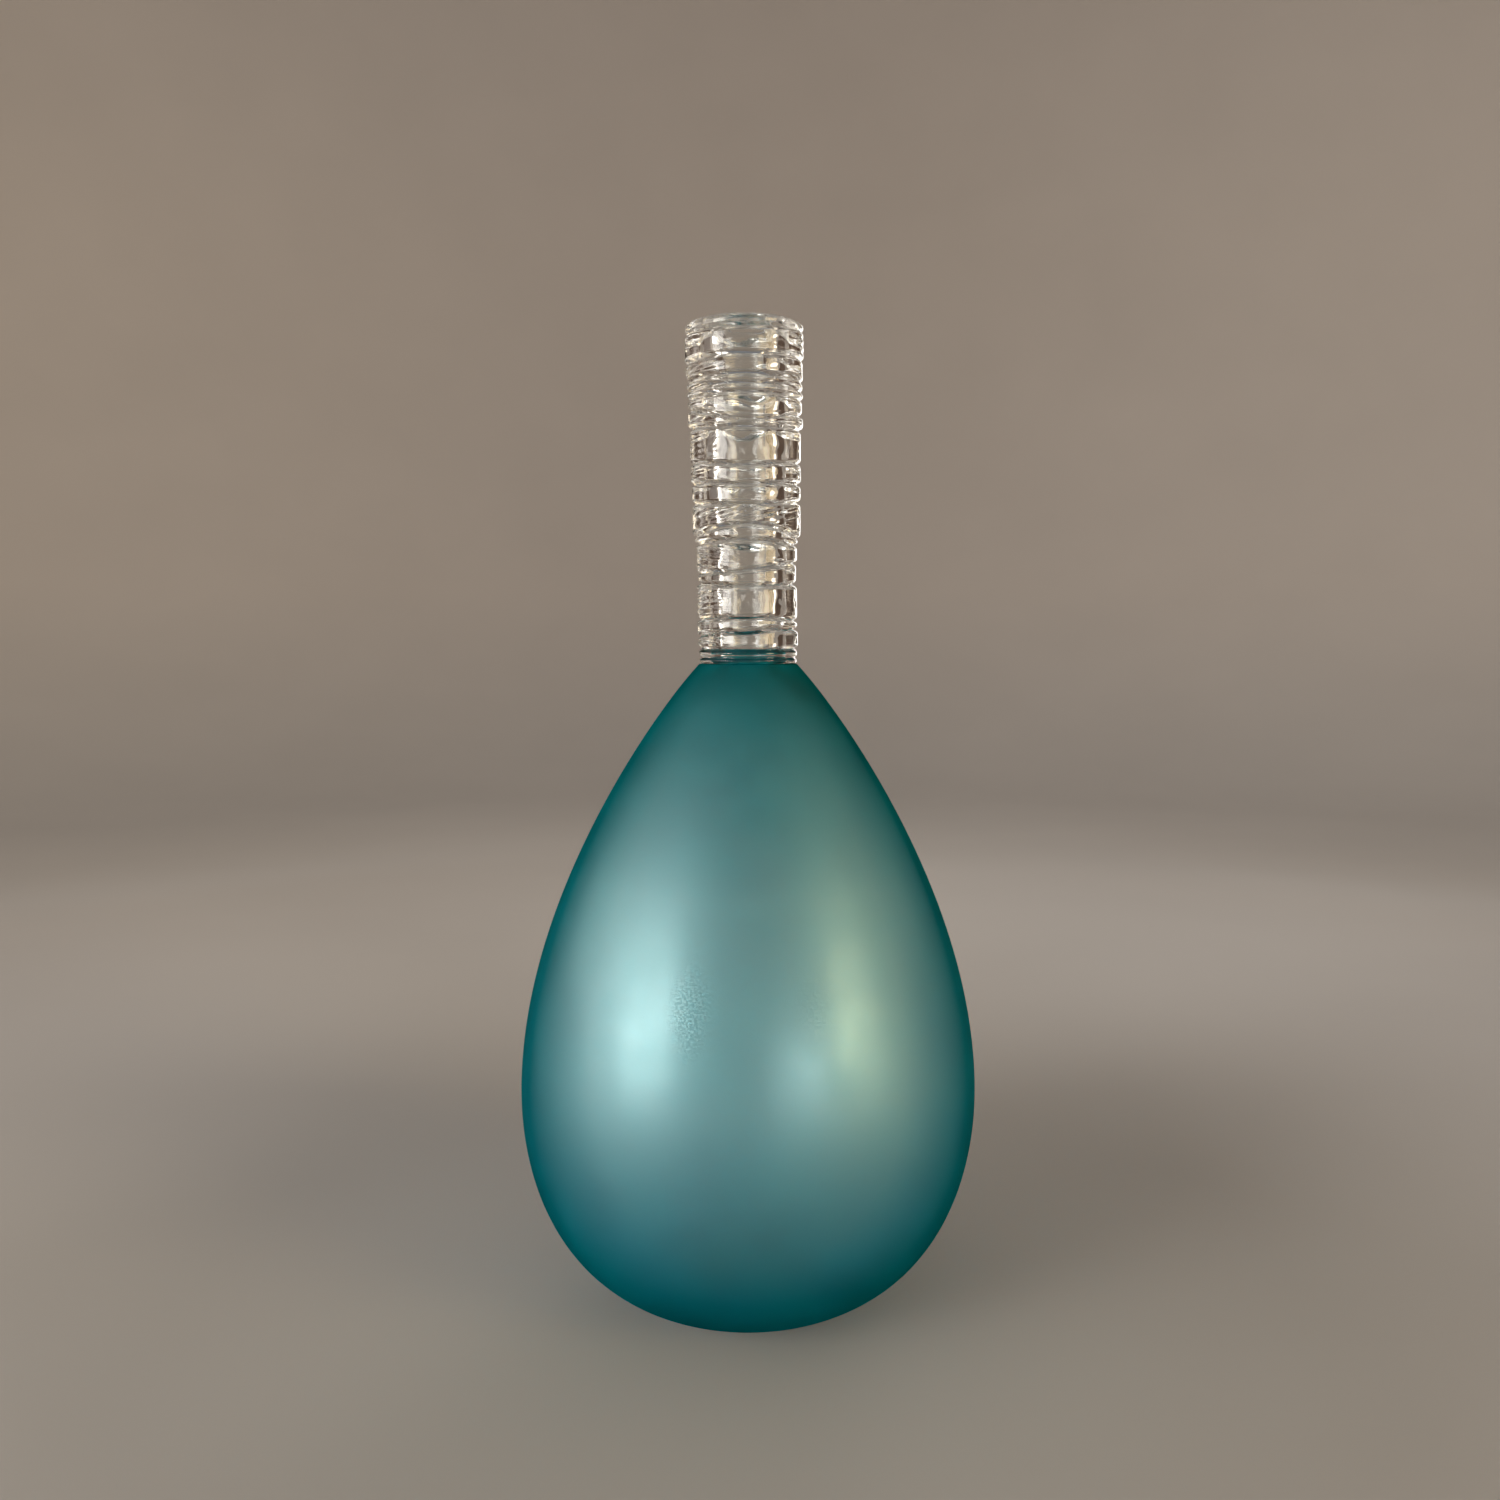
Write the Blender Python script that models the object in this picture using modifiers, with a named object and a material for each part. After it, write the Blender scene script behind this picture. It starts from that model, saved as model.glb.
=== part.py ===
"""Hand-blown glass vase: a frosted teal bulb, and on it a thick clear neck wound with trails of clear glass.

The bulb is one blown shell with a flat ground foot and a short collar round its mouth. The neck is a clear
tube that stands on the bulb's shoulder, over that collar. Eighteen trails of clear glass are wound round the
tube, one above the other, from the collar wrap on the shoulder to the lip wrap at the rim.

Frame: metres, +Z up, origin at the centre of the foot. The front of the vase faces -Y.
"""

import math

import bmesh
import bpy

MM = 0.001

# Whole vase
HEIGHT = 510.0 * MM
GAP = 0.3 * MM

# Bulb
FOOT_RADIUS = 30.0 * MM
BULB_RADIUS = 119.75 * MM
BULB_WIDEST_HEIGHT = 114.0 * MM
SHOULDER_RADIUS = 25.4 * MM
SHOULDER_HEIGHT = 337.8 * MM
FOOT_SWEEP = 86.0 * MM
FOOT_SWEEP_ANGLE = math.radians(6.6)
LOWER_FULLNESS = 20.5 * MM
UPPER_FULLNESS = 98.0 * MM
SHOULDER_SWEEP = 36.8 * MM
SHOULDER_SLOPE = math.radians(47.2)
WALL = 4.6 * MM
FOOT_WALL = 8.5 * MM
FOOT_WALL_FADE = 70.0 * MM
PONTIL_RADIUS = 21.0 * MM
PONTIL_DEPTH = 2.2 * MM

# Bulb's mouth and the collar that the neck tube stands round
MOUTH_RADIUS = 9.6 * MM
COLLAR_RADIUS = 12.9 * MM
COLLAR_HEIGHT = 7.0 * MM
CEILING_START_HEIGHT = 321.0 * MM
CEILING_END_HEIGHT = 334.5 * MM
CEILING_SWEEP = 9.0 * MM

# Neck tube
NECK_FOOT = SHOULDER_HEIGHT + GAP
TUBE_FOOT_RADIUS = 18.4 * MM
TUBE_TOP_RADIUS = 20.6 * MM
BORE_FOOT_RADIUS = COLLAR_RADIUS + GAP
BORE_TOP_RADIUS = 15.0 * MM
BORE_FLARE = 1.4 * MM
BORE_FLARE_DEPTH = 5.0 * MM
TUBE_TOP_DROP = 0.4 * MM
NECK_LEAN = -2.0 * MM

# The trails, from the shoulder up. Each row is: height, outer radius, and then how its upper edge runs round
# the neck: how far it rises at the front, and how far it climbs towards +X. All in millimetres.
TRAILS = (
    ("collar_wrap", 7.8, 25.6, -0.1, 0.0),
    ("trail_wrap_01", 8.2, 25.8, 0.3, 1.6),
    ("trail_wrap_02", 6.6, 25.9, 0.4, -0.3),
    ("trail_wrap_03", 18.5, 25.6, -0.6, -0.3),
    ("trail_wrap_04", 8.0, 25.4, -0.6, 2.5),
    ("trail_wrap_05", 12.3, 25.9, 0.2, -0.5),
    ("trail_wrap_06", 3.4, 26.6, 1.7, -0.3),
    ("trail_wrap_07", 17.6, 27.8, -1.0, 0.3),
    ("trail_wrap_08", 9.6, 28.0, -0.8, 0.0),
    ("trail_wrap_09", 10.4, 28.1, -1.1, 0.0),
    ("trail_wrap_10", 17.3, 28.2, -0.8, -0.4),
    ("trail_wrap_11", 8.4, 29.4, -2.2, -1.5),
    ("trail_wrap_12", 6.4, 29.2, -0.1, -0.2),
    ("trail_wrap_13", 4.1, 29.4, 0.0, -0.2),
    ("trail_wrap_14", 4.7, 29.5, -0.1, 0.0),
    ("trail_wrap_15", 10.2, 29.7, -0.3, 1.0),
    ("trail_wrap_16", 14.2, 30.2, -0.6, 0.8),
    ("lip_wrap", 4.6, 30.2, 0.0, 0.0),
)
GROOVE_DEPTH = 1.5 * MM
GROOVE_SHARE = 0.25

# How finely the turned shapes are cut
BULB_STEPS = 44
NECK_STEPS = 28
MERGE = 0.01 * MM


def bezier(start, handle_a, handle_b, end, count):
    """Points along a cubic Bezier curve in the (radius, height) plane, both ends included."""
    points = []
    for i in range(count + 1):
        t = i / count
        weights = ((1 - t) ** 3, 3 * t * (1 - t) ** 2, 3 * t * t * (1 - t), t**3)
        corners = (start, handle_a, handle_b, end)
        points.append(tuple(sum(w * c[axis] for w, c in zip(weights, corners)) for axis in (0, 1)))
    return points


def bulb_outline():
    """The bulb's outer line from the foot's edge up to the shoulder's edge."""
    widest = (BULB_RADIUS, BULB_WIDEST_HEIGHT)
    lower = bezier(
        (FOOT_RADIUS, 0.0),
        (
            FOOT_RADIUS + FOOT_SWEEP * math.cos(FOOT_SWEEP_ANGLE),
            FOOT_SWEEP * math.sin(FOOT_SWEEP_ANGLE),
        ),
        (BULB_RADIUS, BULB_WIDEST_HEIGHT - LOWER_FULLNESS),
        widest,
        9,
    )
    upper = bezier(
        widest,
        (BULB_RADIUS, BULB_WIDEST_HEIGHT + UPPER_FULLNESS),
        (
            SHOULDER_RADIUS + SHOULDER_SWEEP * math.cos(SHOULDER_SLOPE),
            SHOULDER_HEIGHT - SHOULDER_SWEEP * math.sin(SHOULDER_SLOPE),
        ),
        (SHOULDER_RADIUS, SHOULDER_HEIGHT),
        10,
    )
    return lower + upper[1:]


def wall_at(height):
    """The glass is thickest at the foot and thins to the side wall above it."""
    share = min(1.0, height / FOOT_WALL_FADE)
    return FOOT_WALL + (WALL - FOOT_WALL) * share * share * (3 - 2 * share)


def inner_outline(outline):
    """The bulb's inner line: the outer line moved in along its normal by the wall, up to the ceiling."""
    inner = []
    for before, here, after in zip(outline, outline[1:], outline[2:]):
        along_r, along_z = after[0] - before[0], after[1] - before[1]
        length = math.hypot(along_r, along_z)
        wall = wall_at(here[1])
        point = (here[0] - wall * along_z / length, here[1] + wall * along_r / length)
        if point[1] < CEILING_START_HEIGHT:
            inner.append(point)
    return inner


def ceiling_outline(last, before_last):
    """The inner line from the side wall round to the mouth."""
    along_r, along_z = last[0] - before_last[0], last[1] - before_last[1]
    length = math.hypot(along_r, along_z)
    return bezier(
        last,
        (last[0] + CEILING_SWEEP * along_r / length, last[1] + CEILING_SWEEP * along_z / length),
        (MOUTH_RADIUS, CEILING_END_HEIGHT - CEILING_SWEEP / 3),
        (MOUTH_RADIUS, CEILING_END_HEIGHT),
        4,
    )[1:]


def bulb_profile():
    """The whole section of the bulb, from the inner floor up, over the collar, and down the outside."""
    outline = bulb_outline()
    inner = inner_outline(outline)
    collar_top = SHOULDER_HEIGHT + COLLAR_HEIGHT
    rise = PONTIL_DEPTH + FOOT_WALL
    profile = [(0.0, rise), (FOOT_RADIUS / 2, rise - PONTIL_DEPTH / 3)]
    profile += inner
    profile += ceiling_outline(inner[-1], inner[-2])
    profile += [(MOUTH_RADIUS, collar_top), (COLLAR_RADIUS, collar_top), (COLLAR_RADIUS, SHOULDER_HEIGHT)]
    profile += outline[::-1]
    profile += [(PONTIL_RADIUS, 0.0), (PONTIL_RADIUS / 2, PONTIL_DEPTH * 0.75), (0.0, PONTIL_DEPTH)]
    return profile


def tube_profile():
    """The neck tube's section, a closed loop that runs down its outer side."""
    top = HEIGHT - TUBE_TOP_DROP
    return [
        (BORE_TOP_RADIUS + BORE_FLARE, top),
        (TUBE_TOP_RADIUS, top),
        (TUBE_FOOT_RADIUS, NECK_FOOT),
        (BORE_FOOT_RADIUS, NECK_FOOT),
        (BORE_FOOT_RADIUS, NECK_FOOT + COLLAR_HEIGHT),
        (BORE_TOP_RADIUS, top - BORE_FLARE_DEPTH),
    ]


def tube_radius(height):
    """The neck tube's outer radius at a height."""
    share = (height - NECK_FOOT) / (HEIGHT - TUBE_TOP_DROP - NECK_FOOT)
    return TUBE_FOOT_RADIUS + (TUBE_TOP_RADIUS - TUBE_FOOT_RADIUS) * share


def trail_profile(low, high, radius):
    """One trail's section, a D with its flat side to the tube: a closed loop that runs down its outer side."""
    inside = tube_radius(high) + GAP
    height = high - low
    groove = radius - min(GROOVE_DEPTH, height / 4)
    shoulder = radius - min(GROOVE_DEPTH, height / 4) * GROOVE_SHARE
    return [
        (inside, high),
        (groove, high),
        (shoulder, high - height * 0.14),
        (radius, high - height * 0.38),
        (radius, low + height * 0.38),
        (shoulder, low + height * 0.14),
        (groove, low),
        (inside, low),
    ]


def turn(name, profile, closed, steps, collection):
    """An object turned about Z from a (radius, height) profile with a Screw modifier."""
    mesh = bpy.data.meshes.new(name)
    shape = bmesh.new()
    points = [shape.verts.new((radius, 0.0, height)) for radius, height in profile]
    for start, end in zip(points, points[1:]):
        shape.edges.new((start, end))
    if closed:
        shape.edges.new((points[-1], points[0]))
    shape.to_mesh(mesh)
    shape.free()
    obj = bpy.data.objects.new(name, mesh)
    collection.objects.link(obj)
    screw = obj.modifiers.new("Turn", "SCREW")
    screw.axis = "Z"
    screw.angle = 2 * math.pi
    screw.steps = steps
    screw.render_steps = steps
    screw.use_merge_vertices = True
    screw.merge_threshold = MERGE
    screw.use_smooth_shade = False
    return obj


def apply_modifiers(obj):
    """Keeps the evaluated shape as the object's own mesh."""
    graph = bpy.context.evaluated_depsgraph_get()
    turned = bpy.data.meshes.new_from_object(obj.evaluated_get(graph))
    outline = obj.data
    obj.modifiers.clear()
    obj.data = turned
    bpy.data.meshes.remove(outline)
    turned.name = obj.name


def edge_offset(edge, x, y):
    """How far a trail's edge lies above its level at the side of the neck where (x, y) is."""
    rise, climb = edge
    angle = math.atan2(x, -y)
    return rise * (1 + math.cos(angle) + math.cos(2 * angle)) + climb * math.sin(angle)


def lean_at(height):
    """The neck leans a little to one side: how far its axis is off centre at a height."""
    return NECK_LEAN * max(0.0, height - NECK_FOOT) / (HEIGHT - NECK_FOOT)


def shape_neck_piece(obj, low, high, lower_edge, upper_edge):
    """Runs a turned piece's lower and upper edges unevenly round the neck, and leans it with the neck."""
    for vertex in obj.data.vertices:
        x, y, z = vertex.co
        share = (z - low) / (high - low)
        z += (1 - share) * edge_offset(lower_edge, x, y) + share * edge_offset(upper_edge, x, y)
        vertex.co = (x + lean_at(z), y, z)


def make_material(name, colour, roughness, transmission):
    material = bpy.data.materials.new(name)
    material.use_nodes = True
    shader = material.node_tree.nodes["Principled BSDF"]
    shader.inputs["Base Color"].default_value = (*colour, 1.0)
    shader.inputs["Roughness"].default_value = roughness
    shader.inputs["Metallic"].default_value = 0.0
    shader.inputs["Transmission Weight"].default_value = transmission
    return material


def finish_piece(obj, material):
    obj.data.materials.clear()
    obj.data.materials.append(material)
    obj.data.shade_smooth()
    obj.data.set_sharp_from_angle(angle=math.radians(50))


def make_bulb(collection, material):
    bulb = turn("bulb_shell", bulb_profile(), False, BULB_STEPS, collection)
    apply_modifiers(bulb)
    finish_piece(bulb, material)


def make_neck_tube(collection, material):
    tube = turn("neck_tube", tube_profile(), True, NECK_STEPS, collection)
    apply_modifiers(tube)
    level = (0.0, 0.0)
    shape_neck_piece(tube, NECK_FOOT, HEIGHT, level, level)
    finish_piece(tube, material)


def make_trails(collection, material):
    """Winds the trails from the shoulder up. The heights are scaled to fill the neck exactly."""
    scale = (HEIGHT - NECK_FOOT) / sum(row[1] for row in TRAILS)
    low = NECK_FOOT
    lower_edge = (0.0, 0.0)
    for name, height, radius, rise, climb in TRAILS:
        high = low + height * scale
        upper_edge = (rise * MM, climb * MM)
        is_lip = name == TRAILS[-1][0]
        top = high if is_lip else high - GAP
        trail = turn(name, trail_profile(low, top, radius * MM), True, NECK_STEPS, collection)
        apply_modifiers(trail)
        shape_neck_piece(trail, low, top, lower_edge, upper_edge)
        finish_piece(trail, material)
        low = high
        lower_edge = upper_edge


def main():
    for obj in list(bpy.data.objects):
        bpy.data.objects.remove(obj)
    collection = bpy.data.collections.new("hand_blown_glass_vase")
    bpy.context.scene.collection.children.link(collection)
    frosted = make_material("frosted_teal_glass", (0.02, 0.26, 0.27), 0.45, 0.6)
    clear = make_material("clear_glass", (0.93, 0.95, 0.93), 0.02, 1.0)
    make_bulb(collection, frosted)
    make_neck_tube(collection, clear)
    make_trails(collection, clear)


main()
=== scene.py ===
"""Looks of the hand-blown glass vase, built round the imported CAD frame.

The bulb is a satin teal shell. The neck is a clear tube with eighteen clear trails fused round it. Each trail
is a closed piece of its own, whose outer skin bends light. Where two pieces are fused, both have a seam that
lets light straight through, so that the neck looks like one lump of glass.
"""
import math

import bmesh
import bpy
import numpy as np
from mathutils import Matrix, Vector


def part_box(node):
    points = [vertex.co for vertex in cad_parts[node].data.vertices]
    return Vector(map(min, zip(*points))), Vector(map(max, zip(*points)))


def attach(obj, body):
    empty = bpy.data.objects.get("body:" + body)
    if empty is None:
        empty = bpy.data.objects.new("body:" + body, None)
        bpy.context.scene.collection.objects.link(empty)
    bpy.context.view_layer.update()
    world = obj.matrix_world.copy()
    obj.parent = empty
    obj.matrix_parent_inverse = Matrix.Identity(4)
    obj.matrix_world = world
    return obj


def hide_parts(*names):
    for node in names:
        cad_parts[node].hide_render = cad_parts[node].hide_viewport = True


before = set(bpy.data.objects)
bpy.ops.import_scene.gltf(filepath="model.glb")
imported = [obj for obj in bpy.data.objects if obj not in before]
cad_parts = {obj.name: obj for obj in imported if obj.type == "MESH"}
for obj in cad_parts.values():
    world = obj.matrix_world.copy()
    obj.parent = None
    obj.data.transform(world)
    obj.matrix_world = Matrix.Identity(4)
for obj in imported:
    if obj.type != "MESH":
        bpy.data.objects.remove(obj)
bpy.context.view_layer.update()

MM = 0.001
FULL_TURN = 2 * math.pi
SECTION_ERROR = 0.01 * MM

# Camera: held close to the vase, a little above its middle, and pitched down a little
CAMERA_PLACE = (0.001, -0.6745, 0.350)
CAMERA_PITCH_DOWN = math.radians(4.87)
CAMERA_LENS = 30.96
CAMERA_SENSOR = 36.0

# Fineness of the meshes
BULB_STEPS = 224
BULB_SPACING = 2.2 * MM
NECK_STEPS = 288
SKIN_SPACING = 0.55 * MM
LEAST_SKIN_STEPS = 14
BORE_SPACING = 1.5 * MM

# Bulb: where its section turns by more than the corner angle, the corner is rounded
CORNER_ANGLE = math.radians(38)
CORNER_RADIUS = 0.8 * MM
CORNER_STEPS = 6

# Neck, and how its CAD wraps are measured: their steps round the neck, and the waves kept of each edge
WRAPS = ("collar_wrap", *(f"trail_wrap_{number:02d}" for number in range(1, 17)), "lip_wrap")
CAD_NECK_STEPS = 28
HARMONICS = 3
# The trails' outer skin: the grooves between them, the bead under the collar, and how uneven hand work is
GROOVE_DEPTH = 2.0 * MM
GROOVE_SHOULDER = 2.2 * MM
MOST_SHOULDER_SHARE = 0.48
GROOVE_SHARPNESS = 1.9
COLLAR_BEAD = 3.0 * MM
COLLAR_BEAD_GROOVE = 1.4 * MM
COLLAR_BEAD_GROOVE_WIDTH = 0.9 * MM
RIM_ROUNDING = 3.0 * MM
GROOVE_WANDER = 0.35
GROOVE_WAVES = (1, 6)
MOST_GROOVE_WANDER = 0.7
EDGE_WANDER = 0.38 * MM
EDGE_WAVES = (2, 8)
SKIN_WANDER = 0.3 * MM
SKIN_WAVES = (1, 5)
SKIN_RIPPLE = 0.05 * MM
BORE_RIPPLE = 0.18 * MM
SWELLS = 14
MOST_SWELL_WAVES = 6
SWELL_HEIGHTS = (9 * MM, 40 * MM)
# The bore, and the rim's melted edge inside the lip as (radius, depth below the top)
BORE_FOOT_RADIUS = 13.2 * MM
BORE_TOP_RADIUS = 15.0 * MM
BORE_FLARE_DEPTH = 5.0 * MM
BORE_RIPPLE_FADE = 0.3
LIP_STEP = 0.1 * MM
RIM_EDGE = ((18.5 * MM, 0.3 * MM), (17.0 * MM, 0.9 * MM), (16.0 * MM, 2.0 * MM), (15.4 * MM, 3.5 * MM))
# Where fine threads lie side by side on a trail: the trail, the middle and half-width of the patch in degrees
# round the neck from the front towards +X, the threads' pitch and depth, and how far they climb across it
THREADS = (
    ("trail_wrap_01", -80, 45, 2.6 * MM, 0.35 * MM, 0.5 * MM),
    ("trail_wrap_03", -85, 40, 3.2 * MM, 0.45 * MM, 1.0 * MM),
    ("trail_wrap_05", -60, 35, 3.0 * MM, 0.35 * MM, -2.0 * MM),
    ("trail_wrap_07", 10, 60, 4.2 * MM, 0.30 * MM, 6.0 * MM),
    ("trail_wrap_09", -90, 40, 3.4 * MM, 0.40 * MM, 0.0),
    ("trail_wrap_10", -95, 35, 3.0 * MM, 0.40 * MM, 1.0 * MM),
    ("trail_wrap_11", 20, 50, 3.0 * MM, 0.35 * MM, 3.0 * MM),
    ("trail_wrap_15", -85, 45, 2.8 * MM, 0.40 * MM, 1.5 * MM),
    ("trail_wrap_16", 100, 30, 3.5 * MM, 0.30 * MM, -1.0 * MM),
)


def section_of(node):
    """A turned CAD node's section: its points at angle 0 as (radius, height), in their order along it."""
    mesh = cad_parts[node].data
    index = {}
    place = []
    for vertex in mesh.vertices:
        x, y, z = vertex.co
        radius = math.hypot(x, y)
        on_section = radius < SECTION_ERROR or (x > 0 and abs(y) < SECTION_ERROR)
        key = (round(radius / MM, 2), round(z / MM, 2))
        place.append(index.setdefault(key, len(index)) if on_section else None)
    neighbours = {i: set() for i in index.values()}
    for edge in mesh.edges:
        start, end = (place[v] for v in edge.vertices)
        if start is not None and end is not None and start != end:
            neighbours[start].add(end)
            neighbours[end].add(start)
    points = np.array(list(index)) * MM
    ends = [i for i, others in neighbours.items() if len(others) == 1]
    chain = [min(ends, key=lambda i: points[i][1])]
    while onward := [i for i in neighbours[chain[-1]] if i not in chain[-2:]]:
        chain.append(onward[0])
    return points[chain]


def spline(points, spacing):
    """Points about spacing apart on a smooth curve through the given ones."""
    chords = np.linalg.norm(np.diff(points, axis=0), axis=1)
    along = np.concatenate([[0.0], np.cumsum(chords)])
    if len(points) < 3:
        slopes = np.repeat(np.diff(points, axis=0) / chords[0], 2, axis=0)
    else:
        slopes = np.gradient(points, along, axis=0, edge_order=2)
    at = np.linspace(0.0, along[-1], max(2, math.ceil(along[-1] / spacing) + 1))
    i = np.clip(np.searchsorted(along, at, side="right") - 1, 0, len(chords) - 1)
    u = ((at - along[i]) / chords[i])[:, None]
    size = chords[i][:, None]
    return (
        (2 * u**3 - 3 * u**2 + 1) * points[i]
        + (u**3 - 2 * u**2 + u) * size * slopes[i]
        + (3 * u**2 - 2 * u**3) * points[i + 1]
        + (u**3 - u**2) * size * slopes[i + 1]
    )


def corners_of(points):
    """The places in a line of points where it turns sharply."""
    found = []
    for i in range(1, len(points) - 1):
        before, after = points[i] - points[i - 1], points[i + 1] - points[i]
        turn = math.atan2(before[0] * after[1] - before[1] * after[0], float(np.dot(before, after)))
        if abs(turn) > CORNER_ANGLE:
            found.append(i)
    return found


def smooth_section(points, spacing, radius):
    """The section with smooth curves between its corners, and each corner rounded."""
    marks = [0, *corners_of(points), len(points) - 1]
    runs = [spline(points[a : b + 1], spacing) for a, b in zip(marks, marks[1:])]
    section = [runs[0]]
    for run in runs[1:]:
        before = section[-1]
        corner = run[0]
        cut = min(radius, np.linalg.norm(before[0] - corner) / 3, np.linalg.norm(run[-1] - corner) / 3)
        before = before[np.linalg.norm(before - corner, axis=1) > cut]
        after = run[np.linalg.norm(run - corner, axis=1) > cut]
        start = corner + (before[-1] - corner) / np.linalg.norm(before[-1] - corner) * cut
        end = corner + (after[0] - corner) / np.linalg.norm(after[0] - corner) * cut
        t = np.linspace(0, 1, CORNER_STEPS)[:, None]
        arc = (1 - t) ** 2 * start + 2 * t * (1 - t) * corner + t * t * end
        section[-1] = np.vstack([before, arc])
        section.append(after)
    return np.vstack(section)


def make_object(name, points, faces, materials, face_materials=None):
    """A smooth-shaded mesh object with its faces pointing out."""
    mesh = bpy.data.meshes.new(name)
    mesh.from_pydata([tuple(p) for p in points], [], faces)
    for material in materials:
        mesh.materials.append(material)
    if face_materials is not None:
        mesh.polygons.foreach_set("material_index", face_materials)
    shape = bmesh.new()
    shape.from_mesh(mesh)
    bmesh.ops.recalc_face_normals(shape, faces=shape.faces)
    shape.to_mesh(mesh)
    shape.free()
    mesh.shade_smooth()
    piece = bpy.data.objects.new(name, mesh)
    bpy.context.scene.collection.objects.link(piece)
    return piece


def turned(name, section, steps, materials):
    """A closed shape turned about Z from a section whose two ends are on the axis."""
    angles = np.arange(steps) * FULL_TURN / steps
    rings = section[1:-1]
    points = [(0.0, 0.0, section[0][1])]
    for radius, height in rings:
        points.extend(zip(radius * np.sin(angles), -radius * np.cos(angles), np.full(steps, height)))
    points.append((0.0, 0.0, section[-1][1]))
    last = len(points) - 1
    faces = []
    for k in range(steps):
        after = (k + 1) % steps
        faces.append((0, 1 + k, 1 + after))
        for i in range(len(rings) - 1):
            low, high = 1 + i * steps, 1 + (i + 1) * steps
            faces.append((low + k, high + k, high + after, low + after))
        faces.append((last, last - steps + after, last - steps + k))
    return make_object(name, points, faces, materials)


def ringed(name, loop, axis, materials, strip_materials):
    """A closed ring round the neck. loop lists its section as (radii, heights) round the neck, and
    strip_materials the material of the strip from each of these to the next."""
    angles = neck_angles()
    steps = len(angles)
    points = []
    for radii, heights in loop:
        xs = np.polyval(axis, heights) + radii * np.sin(angles)
        points.extend(zip(xs, -radii * np.cos(angles), heights))
    faces, face_materials = [], []
    for i, material in enumerate(strip_materials):
        low, high = i * steps, (i + 1) % len(loop) * steps
        for k in range(steps):
            after = (k + 1) % steps
            faces.append((low + k, high + k, high + after, low + after))
            face_materials.append(material)
    return make_object(name, points, faces, materials, face_materials)


def neck_angles():
    """Angles round the neck, from the front towards +X."""
    return np.arange(NECK_STEPS) * FULL_TURN / NECK_STEPS


def neck_axis():
    """The neck leans a little: the slope and offset of its axis's x along z."""
    boxes = [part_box(name) for name in WRAPS]
    heights = [(low.z + high.z) / 2 for low, high in boxes]
    centres = [(low.x + high.x) / 2 for low, high in boxes]
    return np.polyfit(heights, centres, 1)


def waves(angles):
    """One column for each wave that an edge may have round the neck."""
    columns = [np.ones_like(angles)]
    for k in range(1, HARMONICS + 1):
        columns += [np.cos(k * angles), np.sin(k * angles)]
    return np.stack(columns, axis=1)


def cad_edges(node, axis):
    """The heights of a CAD wrap's lower and upper edges, at neck_angles()."""
    lows, highs = {}, {}
    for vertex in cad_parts[node].data.vertices:
        x, y, z = vertex.co
        angle = math.atan2(x - np.polyval(axis, z), -y)
        step = round(angle * CAD_NECK_STEPS / FULL_TURN) % CAD_NECK_STEPS
        lows[step] = min(z, lows.get(step, z))
        highs[step] = max(z, highs.get(step, z))
    angles = np.arange(CAD_NECK_STEPS) * FULL_TURN / CAD_NECK_STEPS
    found = []
    for heights in (lows, highs):
        measured = np.array([heights[step] for step in range(CAD_NECK_STEPS)])
        sizes = np.linalg.lstsq(waves(angles), measured, rcond=None)[0]
        found.append(waves(neck_angles()) @ sizes)
    return found


def wander(random, size, first, last):
    """A smooth random curve round the neck, with waves from first to last."""
    angles = neck_angles()
    value = np.zeros_like(angles)
    for k in range(first, last + 1):
        value += random.normal() * np.cos(k * angles + random.uniform(0, FULL_TURN)) / math.sqrt(k)
    return size * value / math.sqrt(last - first + 1)


def boundaries(axis, random):
    """The lines where each wrap meets the next, from the shoulder to the rim, as heights round the neck."""
    edges = [cad_edges(name, axis) for name in WRAPS]
    lines = [edges[0][0]]
    for lower, upper in zip(edges, edges[1:]):
        lines.append((lower[1] + upper[0]) / 2 + wander(random, EDGE_WANDER, *EDGE_WAVES))
    lines.append(edges[-1][1])
    return lines


def rippling(random, size):
    """A function that gives how far a hand-worked wall is out, at angles and heights."""
    swells = []
    for _ in range(SWELLS):
        around = int(random.integers(1, MOST_SWELL_WAVES + 1))
        rise = FULL_TURN / random.uniform(*SWELL_HEIGHTS) * random.choice((-1, 1))
        swells.append((around, rise, random.uniform(0, FULL_TURN)))

    def ripple(angles, heights):
        total = sum(np.cos(around * angles + rise * heights + start) for around, rise, start in swells)
        return size * total / math.sqrt(len(swells) / 2)

    return ripple


def outer_radius(node):
    low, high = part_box(node)
    return (high.y - low.y) / 2


def threading(name, heights):
    """How far the fine threads on a trail stand out at heights round the neck."""
    angles = neck_angles()
    total = np.zeros_like(angles)
    for wrap, middle, half_width, pitch, depth, climb in THREADS:
        if wrap == name:
            away = (np.degrees(angles) - middle + 180) % 360 - 180
            patch = np.exp(-((away / half_width) ** 2))
            total += depth * patch * np.cos(FULL_TURN * (heights - climb * away / half_width) / pitch)
    return total


def groove_fall(drop, away, shoulder):
    """How far a skin has dropped towards a groove's bottom, at a distance from it."""
    return drop * np.clip(1 - away / shoulder, 0, 1) ** GROOVE_SHARPNESS


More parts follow.
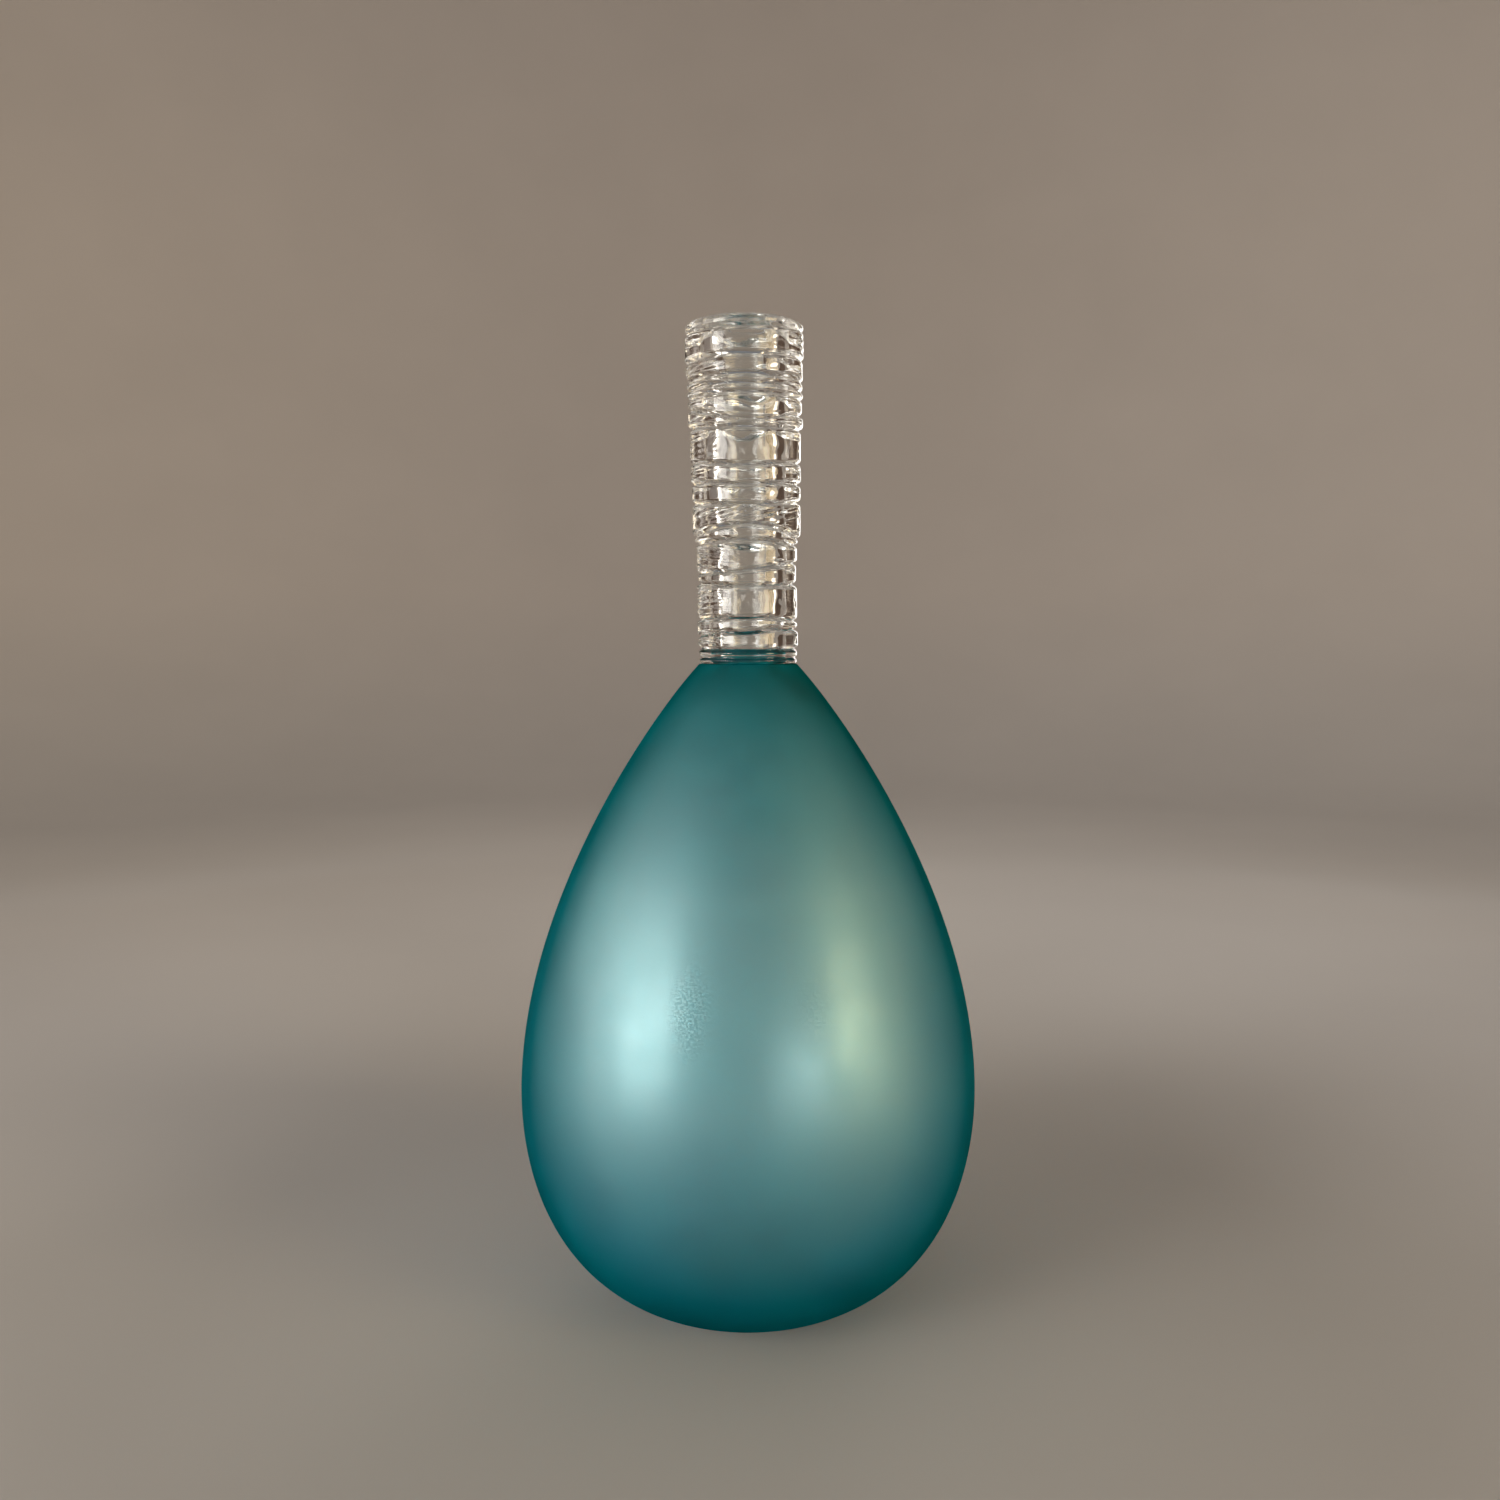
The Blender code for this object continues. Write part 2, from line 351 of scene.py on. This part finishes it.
def wrap_skins(lines, random):
    """Each wrap's outer skin, as a list of (radii, heights) round the neck from its lower edge up."""
    radii = [outer_radius(name) for name in WRAPS]
    grooves = [np.full(NECK_STEPS, radii[0] - GROOVE_DEPTH / 2)]
    for lower, upper in zip(radii, radii[1:]):
        unevenness = wander(random, GROOVE_WANDER, *GROOVE_WAVES)
        unevenness = np.clip(unevenness, -MOST_GROOVE_WANDER, MOST_GROOVE_WANDER)
        grooves.append(min(lower, upper) - GROOVE_DEPTH * (1 + unevenness))
    grooves.append(np.full(NECK_STEPS, radii[-1] - RIM_ROUNDING))
    ripple = rippling(random, SKIN_RIPPLE)
    skins = []
    for i, name in enumerate(WRAPS):
        low, high = lines[i], lines[i + 1]
        height = high - low
        bulge = radii[i] + wander(random, SKIN_WANDER, *SKIN_WAVES)
        shoulder = np.minimum(GROOVE_SHOULDER, height * MOST_SHOULDER_SHARE)
        steps = max(LEAST_SKIN_STEPS, math.ceil(height.max() / SKIN_SPACING))
        skin = []
        for share in (1 - np.cos(np.linspace(0, math.pi, steps + 1))) / 2:
            at = low + share * height
            crown = bulge + ripple(neck_angles(), at) + threading(name, at)
            if name == "collar_wrap":
                away = (at - low - COLLAR_BEAD) / COLLAR_BEAD_GROOVE_WIDTH
                crown = crown - COLLAR_BEAD_GROOVE * np.exp(-(away**2))
            fall_low = groove_fall(crown - grooves[i], at - low, shoulder)
            fall_high = groove_fall(crown - grooves[i + 1], high - at, shoulder)
            skin.append((crown - fall_low - fall_high, at))
        skins.append(skin)
    return skins


def tube_radii():
    """The neck tube's foot and top heights, and its outer radius at each."""
    low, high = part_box("neck_tube")
    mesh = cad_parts["neck_tube"].data
    radii = {"foot": [], "top": []}
    for vertex in mesh.vertices:
        end = "foot" if vertex.co.z < (low.z + high.z) / 2 else "top"
        radii[end].append(abs(vertex.co.y))
    return low.z, high.z, max(radii["foot"]), max(radii["top"])


# ---------------------------------------------------------------- materials

# Most of a noise texture's values are in this range
NOISE_RANGE = (0.3, 0.7)


def new_material(name):
    """A material with a Principled shader: (material, nodes, links, shader, output)."""
    material = bpy.data.materials.new(name)
    material.use_nodes = True
    nodes = material.node_tree.nodes
    return material, nodes, material.node_tree.links, nodes["Principled BSDF"], nodes["Material Output"]


def noise(nodes, links, scale, detail=2.0, roughness=0.5):
    """A noise texture over the object's own coordinates."""
    place = nodes.new("ShaderNodeTexCoord")
    texture = nodes.new("ShaderNodeTexNoise")
    texture.inputs["Scale"].default_value = scale
    texture.inputs["Detail"].default_value = detail
    texture.inputs["Roughness"].default_value = roughness
    links.new(place.outputs["Object"], texture.inputs["Vector"])
    return texture.outputs["Fac"]


def spread(nodes, links, value, low, high, new_low, new_high):
    """value, moved from the range low..high to new_low..new_high."""
    ramp = nodes.new("ShaderNodeMapRange")
    ramp.inputs["From Min"].default_value = low
    ramp.inputs["From Max"].default_value = high
    ramp.inputs["To Min"].default_value = new_low
    ramp.inputs["To Max"].default_value = new_high
    links.new(value, ramp.inputs["Value"])
    return ramp.outputs["Result"]


def patchy(nodes, links, scale, low, high):
    """A value that drifts from low to high over the surface."""
    return spread(nodes, links, noise(nodes, links, scale), *NOISE_RANGE, low, high)


def product(nodes, links, first, second):
    result = nodes.new("ShaderNodeMath")
    result.operation = "MULTIPLY"
    links.new(first, result.inputs[0])
    links.new(second, result.inputs[1])
    return result.outputs["Value"]


def graded(nodes, links, value, stops):
    """A colour that changes with value, through (value, colour) stops."""
    lowest, highest = stops[0][0], stops[-1][0]
    ramp = nodes.new("ShaderNodeValToRGB")
    elements = ramp.color_ramp.elements
    for i, (at, colour) in enumerate(stops):
        share = (at - lowest) / (highest - lowest)
        element = elements.new(share) if 0 < i < len(stops) - 1 else elements[-1 if i else 0]
        element.position = share
        element.color = (*colour, 1)
    links.new(spread(nodes, links, value, lowest, highest, 0.0, 1.0), ramp.inputs["Fac"])
    return ramp.outputs["Color"]


def height_of(nodes, links):
    """The height above the foot of the place that is shaded."""
    place = nodes.new("ShaderNodeTexCoord")
    split = nodes.new("ShaderNodeSeparateXYZ")
    links.new(place.outputs["Object"], split.inputs[0])
    return split.outputs["Z"]


def layer(nodes, links, share, below, above):
    """The shader above, mixed over the one below by share."""
    over = nodes.new("ShaderNodeMixShader")
    links.new(share, over.inputs["Fac"])
    links.new(below, over.inputs[1])
    links.new(above, over.inputs[2])
    return over.outputs["Shader"]


# The bulb's glass: its colour by height, the glass's own teal made lighter towards the foot, which paints the
# light coming through there, and darker towards the collar, which paints shade on the shoulders; and how
# strongly its glosses show by height, weakened near the foot and the collar to paint shade there
TEAL_AND_PAINTED_LIGHT_BY_HEIGHT = (
    (0.0, (0.002, 0.72, 0.85)),
    (0.06, (0.008, 0.71, 0.83)),
    (0.13, (0.035, 0.68, 0.78)),
    (0.34, (0.005, 0.60, 0.65)),
)
GLOSS_SHADE_AT_HEIGHTS = (
    (0.0, 0.0),
    (0.04, 0.03),
    (0.09, 0.55),
    (0.14, 1.0),
    (0.23, 1.0),
    (0.30, 0.42),
    (0.34, 0.03),
)
# The tone that drifts through the teal, how much of it, and the scale of its patches
STREAK_TONE = (0.85, 0.95, 0.96, 1)
STREAK_SHARE = 0.25
STREAK_SCALE = 14.0
# The etch: its grain, how far it blurs and bends what is behind, and its cloudiness
GRAIN_SCALE = 900.0
GRAIN_HEIGHT = 0.4 * MM
GRAIN_STRENGTH = 0.08
SATIN_BLUR = 0.4
SATIN_IOR = 1.25
CLOUD_SCALE = 25.0
CLOUD_SHARE = (0.08, 0.12)
# The satin glosses: each one's least and most roughness, and its share of the surface where it is strongest
SATIN_LOBES = ((0.58, 0.66, 0.19), (0.30, 0.36, 0.06))
SATIN_TINT = (0.71, 0.97, 1.0, 1)
HANDLED_SCALE = 60.0
# A gloss fades away between these amounts of turning from view
GLOSS_FADE = (0.30, 0.75)


def grain(nodes, links, scale, detail, strength, height):
    """A fine relief over the surface, as a normal."""
    bump = nodes.new("ShaderNodeBump")
    bump.inputs["Strength"].default_value = strength
    bump.inputs["Distance"].default_value = height
    links.new(noise(nodes, links, scale, detail), bump.inputs["Height"])
    return bump.outputs["Normal"]


def teal_and_painted_light(nodes, links, height):
    mix = nodes.new("ShaderNodeMix")
    mix.data_type = "RGBA"
    mix.blend_type = "MULTIPLY"
    links.new(patchy(nodes, links, STREAK_SCALE, 0.0, STREAK_SHARE), mix.inputs["Factor"])
    # The grading by height paints light near the foot and shade towards the collar over the glass's own teal
    links.new(graded(nodes, links, height, TEAL_AND_PAINTED_LIGHT_BY_HEIGHT), mix.inputs["A"])
    mix.inputs["B"].default_value = STREAK_TONE
    return mix.outputs["Result"]


def satin_teal():
    """The bulb's acid-etched glass: teal, blurring what is behind it and a little cloudy, under two satin
    glosses, a broad and a tight one. The teal is lighter near the foot and darker near the collar, painted
    light and shade. The glosses are weakened near the foot and the collar, which paints shade there, take on
    some of the glass's colour, and fade where it turns away."""
    material, nodes, links, shader, output = new_material("satin_teal_glass")
    nodes.remove(shader)
    height = height_of(nodes, links)
    colour = teal_and_painted_light(nodes, links, height)
    relief = grain(nodes, links, GRAIN_SCALE, 3.0, GRAIN_STRENGTH, GRAIN_HEIGHT)
    through = nodes.new("ShaderNodeBsdfRefraction")
    through.inputs["Roughness"].default_value = SATIN_BLUR
    through.inputs["IOR"].default_value = SATIN_IOR
    cloud = nodes.new("ShaderNodeBsdfDiffuse")
    for body in (through, cloud):
        links.new(colour, body.inputs["Color"])
        links.new(relief, body.inputs["Normal"])
    cloudiness = patchy(nodes, links, CLOUD_SCALE, *CLOUD_SHARE)
    below = layer(nodes, links, cloudiness, through.outputs["BSDF"], cloud.outputs["BSDF"])
    # Painted shade: the glosses are weakened by height near the foot and the collar
    gloss_shade = graded(nodes, links, height, [(at, (share, share, share)) for at, share in GLOSS_SHADE_AT_HEIGHTS])
    facing = nodes.new("ShaderNodeLayerWeight")
    facing.inputs["Blend"].default_value = 0.5
    for low, high, share in SATIN_LOBES:
        gloss = nodes.new("ShaderNodeBsdfGlossy")
        gloss.inputs["Color"].default_value = SATIN_TINT
        links.new(patchy(nodes, links, HANDLED_SCALE, low, high), gloss.inputs["Roughness"])
        links.new(relief, gloss.inputs["Normal"])
        fade = spread(nodes, links, facing.outputs["Facing"], *GLOSS_FADE, share, 0.0)
        below = layer(nodes, links, product(nodes, links, fade, gloss_shade), below, gloss.outputs["BSDF"])
    links.new(below, output.inputs["Surface"])
    return material


# Clear glass: its faint tints and their scale, and the trails' and the bore's scale and height of waviness
CLEAR_TINTS = ((0.93, 0.955, 0.945), (0.985, 0.985, 0.98))
CLEAR_TINT_SCALE = 40.0
CLEAR_IOR = 1.5
WAVINESS_STRENGTH = 0.5
TRAIL_WAVINESS = (160.0, 0.4 * MM)
BORE_WAVINESS = (60.0, 0.8 * MM)


def clear_glass(name, scale, wave_height):
    """Fire-polished clear glass, with a faint waviness."""
    material, nodes, links, shader, _ = new_material(name)
    tint = graded(nodes, links, noise(nodes, links, CLEAR_TINT_SCALE), list(enumerate(CLEAR_TINTS)))
    links.new(tint, shader.inputs["Base Color"])
    links.new(grain(nodes, links, scale, 1.0, WAVINESS_STRENGTH, wave_height), shader.inputs["Normal"])
    shader.inputs["Roughness"].default_value = 0.0
    shader.inputs["Transmission Weight"].default_value = 1.0
    shader.inputs["IOR"].default_value = CLEAR_IOR
    return material


def fused_seam():
    """The inside of a fused joint, which can't be seen."""
    material, nodes, links, shader, output = new_material("fused_seam")
    nodes.remove(shader)
    clear = nodes.new("ShaderNodeBsdfTransparent")
    links.new(clear.outputs["BSDF"], output.inputs["Surface"])
    return material


# ---------------------------------------------------------------- pieces

# The places of a neck piece's two materials
SKIN, SEAM = 0, 1
NECK_SEED = 7


def make_bulb():
    section = smooth_section(section_of("bulb_shell"), BULB_SPACING, CORNER_RADIUS)
    low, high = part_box("bulb_shell")
    section[:, 1] = np.clip(section[:, 1], low.z, high.z)
    bulb = turned("bulb", section, BULB_STEPS, [satin_teal()])
    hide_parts("bulb_shell")
    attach(bulb, "root")


def fuse(piece, node):
    """Puts a neck piece in the place of its CAD node."""
    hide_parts(node)
    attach(piece, "root")


def make_wraps(lines, skins, axis, tube_at, materials):
    """The trails: each one's skin, and its seams with the tube and with the trails below and above. The lip's
    top has no trail above it, so it is skin."""
    for i, name in enumerate(WRAPS):
        low, high = lines[i], lines[i + 1]
        skin = skins[i]
        loop = [(tube_at(low), low), *skin, (tube_at(high), high)]
        top_strip = SKIN if name == "lip_wrap" else SEAM
        strips = [SEAM] + [SKIN] * (len(skin) - 1) + [top_strip, SEAM]
        fuse(ringed(f"{name}_glass", loop, axis, materials, strips), name)


def bore_rings(low, high, random):
    """The bore's wall, from the rim down to the bulb's collar."""
    ripple = rippling(random, BORE_RIPPLE)
    rings = []
    for share in np.linspace(1, 0, math.ceil((high - low) / BORE_SPACING)):
        height = low + share * (high - low)
        radius = BORE_FOOT_RADIUS + (BORE_TOP_RADIUS - BORE_FOOT_RADIUS) * share
        fade = math.sin(math.pi * share) ** BORE_RIPPLE_FADE
        rings.append((radius + fade * ripple(neck_angles(), height), np.full(NECK_STEPS, height)))
    return rings


def make_neck():
    random = np.random.default_rng(NECK_SEED)
    axis = neck_axis()
    lines = boundaries(axis, random)
    skins = wrap_skins(lines, random)
    foot, top, foot_radius, top_radius = tube_radii()
    seam = fused_seam()

    def tube_at(heights):
        return foot_radius + (top_radius - foot_radius) * (heights - foot) / (top - foot)

    make_wraps(lines, skins, axis, tube_at, [clear_glass("trail_glass", *TRAIL_WAVINESS), seam])

    even = np.ones(NECK_STEPS)
    shoulder, mouth = lines[0], lines[-1]
    rim = [(radius * even, mouth - depth) for radius, depth in ((top_radius, LIP_STEP), *RIM_EDGE)]
    bore = bore_rings(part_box("bulb_shell")[1].z, top - BORE_FLARE_DEPTH, random)
    loop = [(foot_radius * even, shoulder), *rim, *bore, (BORE_FOOT_RADIUS * even, shoulder)]
    strips = [SEAM] + [SKIN] * (len(rim) + len(bore) - 1) + [SEAM, SEAM]
    materials = [clear_glass("bore_glass", *BORE_WAVINESS), seam]
    fuse(ringed("neck_tube_glass", loop, axis, materials, strips), "neck_tube")


# ---------------------------------------------------------------- studio

# Lights are given in degrees, metres and radiance. An azimuth is 0 on the camera's side and 90 at +X, a width
# is the angle that a light fills as the vase sees it, and a beam is the angle that it shines into.
# The windows: azimuth, width, bottom, top, radiance, colour and beam
WIDE_BEAM = 90
NARROW_BEAM = 64
WINDOW_DISTANCE = 1.6
WINDOWS = {
    "window_left": (-60, 50, 0.08, 1.00, 4.0, (1.0, 0.96, 0.90), WIDE_BEAM),
    "window_left_core": (-50, 22, 0.08, 0.92, 11.5, (1.0, 0.97, 0.91), NARROW_BEAM),
    "window_right": (54, 24, 0.10, 1.15, 11.0, (1.0, 0.78, 0.46), NARROW_BEAM),
    "window_front": (25, 24, 0.06, 0.34, 9.0, (1.0, 0.97, 0.92), NARROW_BEAM),
}
# The share of a window's light that is seen through glass, which keeps the neck from being white from behind,
# and how far behind that lamp the one stands that gives the rest
THROUGH_GLASS = 0.6
LAMP_GAP = 0.02
# The soft light on the vase's back: azimuth, distance, width, bottom, top, radiance, colour and beam
BACK_FILL = (155, 1.7, 34, 0.10, 1.10, 4.0, (1.0, 0.98, 0.95), NARROW_BEAM)
# The upright lights that draw the neck's edges: azimuth, bottom, radiance, colour and beam
RIM_DISTANCE = 1.5
RIM_WIDTH = 12
RIM_TOP = 0.82
RIM_LIGHTS = (
    (-109, 0.28, 4.2, (1.0, 0.94, 0.86), 36),
    (-95, 0.28, 3.6, (1.0, 0.92, 0.82), 36),
    (95, 0.48, 1.3, (1.0, 0.72, 0.40), 18),
    (109, 0.40, 3.0, (1.0, 0.86, 0.66), 24),
)
# The lights over the vase that face away from it and light the wall: distance, width, bottom, top, radiance
WALL_LIGHTS = 8
WALL_LIGHT = (0.3, 45, 0.8, 2.0, 7.6)
WALL_LIGHT_COLOUR = (1.0, 0.94, 0.87)
# The dark panels behind the vase, out of view: azimuth and width
FLAGS = {"flag_left": (-141, 38), "flag_right": (139, 34)}
FLAG_DISTANCE = 1.4
FLAG_HEIGHTS = (0.3, 1.1)
CLOTH_TONES = ((0.045, 0.024, 0.014), (0.07, 0.038, 0.022))
CLOTH_SCALE = 40.0
# The floor sweeps up into the wall: the rings of its flat part, the bend's radius and the wall's top
FLOOR_RINGS = (0.3, 1.0, 2.2)
BEND_RADIUS = 1.6
BEND_STEPS = 12
WALL_TOP = 4.5
STAGE_STEPS = 96
STAGE_TONES = ((0.0, (0.62, 0.585, 0.545)), (0.5, (0.74, 0.67, 0.60)), (WALL_TOP, (0.74, 0.67, 0.60)))
STAGE_SHADE = (0.92, 0.92, 0.92, 1)
STAGE_SHADE_SCALE = 3.0
SKY_COLOUR = (0.91, 0.92, 0.97, 1)
SKY_STRENGTH = 0.2


def direction(azimuth):
    """The level direction from the vase's axis towards an azimuth in degrees."""
    a = math.radians(azimuth)
    return Vector((math.sin(a), -math.cos(a), 0.0))


def width_at(distance, angle):
    """How wide a thing is that fills an angle in degrees, seen from a distance."""
    return 2 * distance * math.tan(math.radians(angle / 2))


def softbox(name, azimuth, distance, width, bottom, top, radiance, colour, beam=180, aim=None):
    """An upright soft light that faces the vase's axis, or is tilted to face the height aim on it. Its power
    makes up for a narrow beam, which Blender would make brighter."""
    light = bpy.data.lights.new(name, "AREA")
    light.shape = "RECTANGLE"
    light.size = width_at(distance, width)
    light.size_y = top - bottom
    half_beam = math.radians(beam / 2)
    focus = 1 - half_beam / math.tan(half_beam)
    light.energy = radiance * math.pi * light.size * light.size_y * focus
    light.color = colour
    light.spread = math.radians(beam)
    middle = (bottom + top) / 2
    lamp = bpy.data.objects.new(name, light)
    lamp.location = direction(azimuth) * distance + Vector((0.0, 0.0, middle))
    faced = Vector((0.0, 0.0, middle if aim is None else aim))
    lamp.rotation_euler = (lamp.location - faced).to_track_quat("Z", "Y").to_euler()
    lamp.visible_camera = False
    bpy.context.scene.collection.objects.link(lamp)
    return lamp


def make_windows():
    """Each window is a lamp that shows through glass, with one close behind it that doesn't. The light on the
    vase's back doesn't show through glass either."""
    for name, (azimuth, width, bottom, top, radiance, colour, beam) in WINDOWS.items():
        place = (width, bottom, top)
        seen, rest = radiance * THROUGH_GLASS, radiance * (1 - THROUGH_GLASS)
        softbox(name, azimuth, WINDOW_DISTANCE, *place, seen, colour, beam)
        gloss = softbox(f"{name}_gloss", azimuth, WINDOW_DISTANCE + LAMP_GAP, *place, rest, colour, beam)
        gloss.visible_transmission = False
    fill = softbox("fill_back", *BACK_FILL)
    fill.visible_transmission = False


def make_rim_lights():
    """They are aimed at the neck's middle."""
    neck_low, neck_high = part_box("neck_tube")
    aim = (neck_low.z + neck_high.z) / 2
    for azimuth, bottom, radiance, colour, beam in RIM_LIGHTS:
        place = (RIM_DISTANCE, RIM_WIDTH, bottom, RIM_TOP)
        softbox(f"rim_{azimuth}", azimuth, *place, radiance, colour, beam, aim)


def make_wall_lights():
    """Softboxes that are turned round, so that they light the wall and not the vase."""
    for number in range(WALL_LIGHTS):
        azimuth = 360 * number / WALL_LIGHTS
        lamp = softbox(f"wall_{number + 1}", azimuth, *WALL_LIGHT, WALL_LIGHT_COLOUR)
        lamp.rotation_euler.z += math.pi


def brown_cloth():
    material, nodes, links, shader, _ = new_material("brown_cloth")
    tone = graded(nodes, links, noise(nodes, links, CLOTH_SCALE), list(enumerate(CLOTH_TONES)))
    links.new(tone, shader.inputs["Base Color"])
    shader.inputs["Roughness"].default_value = 0.95
    return material


def make_flags():
    """Upright dark panels, out of the camera's sight, which give the clear glass its dark lines."""
    cloth = brown_cloth()
    for name, (azimuth, width) in FLAGS.items():
        away = direction(azimuth) * FLAG_DISTANCE
        along = direction(azimuth + 90) * width_at(FLAG_DISTANCE, width) / 2
        points = [(c.x, c.y, z) for z in FLAG_HEIGHTS for c in (away - along, away + along)]
        mesh = bpy.data.meshes.new(name)
        mesh.from_pydata(points, [], [(0, 1, 3, 2)])
        mesh.materials.append(cloth)
        panel = bpy.data.objects.new(name, mesh)
        panel.visible_camera = False
        panel.visible_shadow = False
        bpy.context.scene.collection.objects.link(panel)


def pale_floor():
    material, nodes, links, shader, _ = new_material("pale_floor")
    mix = nodes.new("ShaderNodeMix")
    mix.data_type = "RGBA"
    mix.blend_type = "MULTIPLY"
    links.new(noise(nodes, links, STAGE_SHADE_SCALE), mix.inputs["Factor"])
    links.new(graded(nodes, links, height_of(nodes, links), STAGE_TONES), mix.inputs["A"])
    mix.inputs["B"].default_value = STAGE_SHADE
    links.new(mix.outputs["Result"], shader.inputs["Base Color"])
    shader.inputs["Roughness"].default_value = 0.9
    return material


def make_stage():
    """A pale floor that sweeps up into a paler wall all round."""
    section = [(radius, 0.0) for radius in FLOOR_RINGS]
    for i in range(1, BEND_STEPS + 1):
        angle = math.radians(i * 90 / BEND_STEPS)
        across, up = BEND_RADIUS * math.sin(angle), BEND_RADIUS * (1 - math.cos(angle))
        section.append((FLOOR_RINGS[-1] + across, up))
    section.append((FLOOR_RINGS[-1] + BEND_RADIUS, WALL_TOP))
    points, faces = [(0.0, 0.0, 0.0)], []
    for radius, height in section:
        for k in range(STAGE_STEPS):
            angle = FULL_TURN * k / STAGE_STEPS
            points.append((radius * math.sin(angle), -radius * math.cos(angle), height))
    for k in range(STAGE_STEPS):
        after = (k + 1) % STAGE_STEPS
        faces.append((0, 1 + k, 1 + after))
        for i in range(len(section) - 1):
            low, high = 1 + i * STAGE_STEPS, 1 + (i + 1) * STAGE_STEPS
            faces.append((low + k, high + k, high + after, low + after))
    mesh = bpy.data.meshes.new("floor")
    mesh.from_pydata(points, [], faces)
    mesh.materials.append(pale_floor())
    mesh.shade_smooth()
    floor = bpy.data.objects.new("floor", mesh)
    bpy.context.scene.collection.objects.link(floor)


def make_world():
    world = bpy.data.worlds.new("studio")
    world.use_nodes = True
    background = world.node_tree.nodes["Background"]
    background.inputs["Color"].default_value = SKY_COLOUR
    background.inputs["Strength"].default_value = SKY_STRENGTH
    bpy.context.scene.world = world


def make_camera():
    data = bpy.data.cameras.new("camera")
    data.lens = CAMERA_LENS
    data.sensor_width = CAMERA_SENSOR
    camera = bpy.data.objects.new("camera", data)
    camera.location = CAMERA_PLACE
    camera.rotation_euler = (math.pi / 2 - CAMERA_PITCH_DOWN, 0.0, 0.0)
    bpy.context.scene.collection.objects.link(camera)
    bpy.context.scene.camera = camera


def set_light_paths():
    """Enough bounces for light to get through the neck's many surfaces."""
    cycles = bpy.context.scene.cycles
    cycles.max_bounces = 32
    cycles.transmission_bounces = 32
    cycles.glossy_bounces = 12
    cycles.transparent_max_bounces = 96
    bpy.context.scene.view_settings.view_transform = "Standard"


make_camera()
make_stage()
make_windows()
make_rim_lights()
make_wall_lights()
make_flags()
make_world()
set_light_paths()
make_bulb()
make_neck()
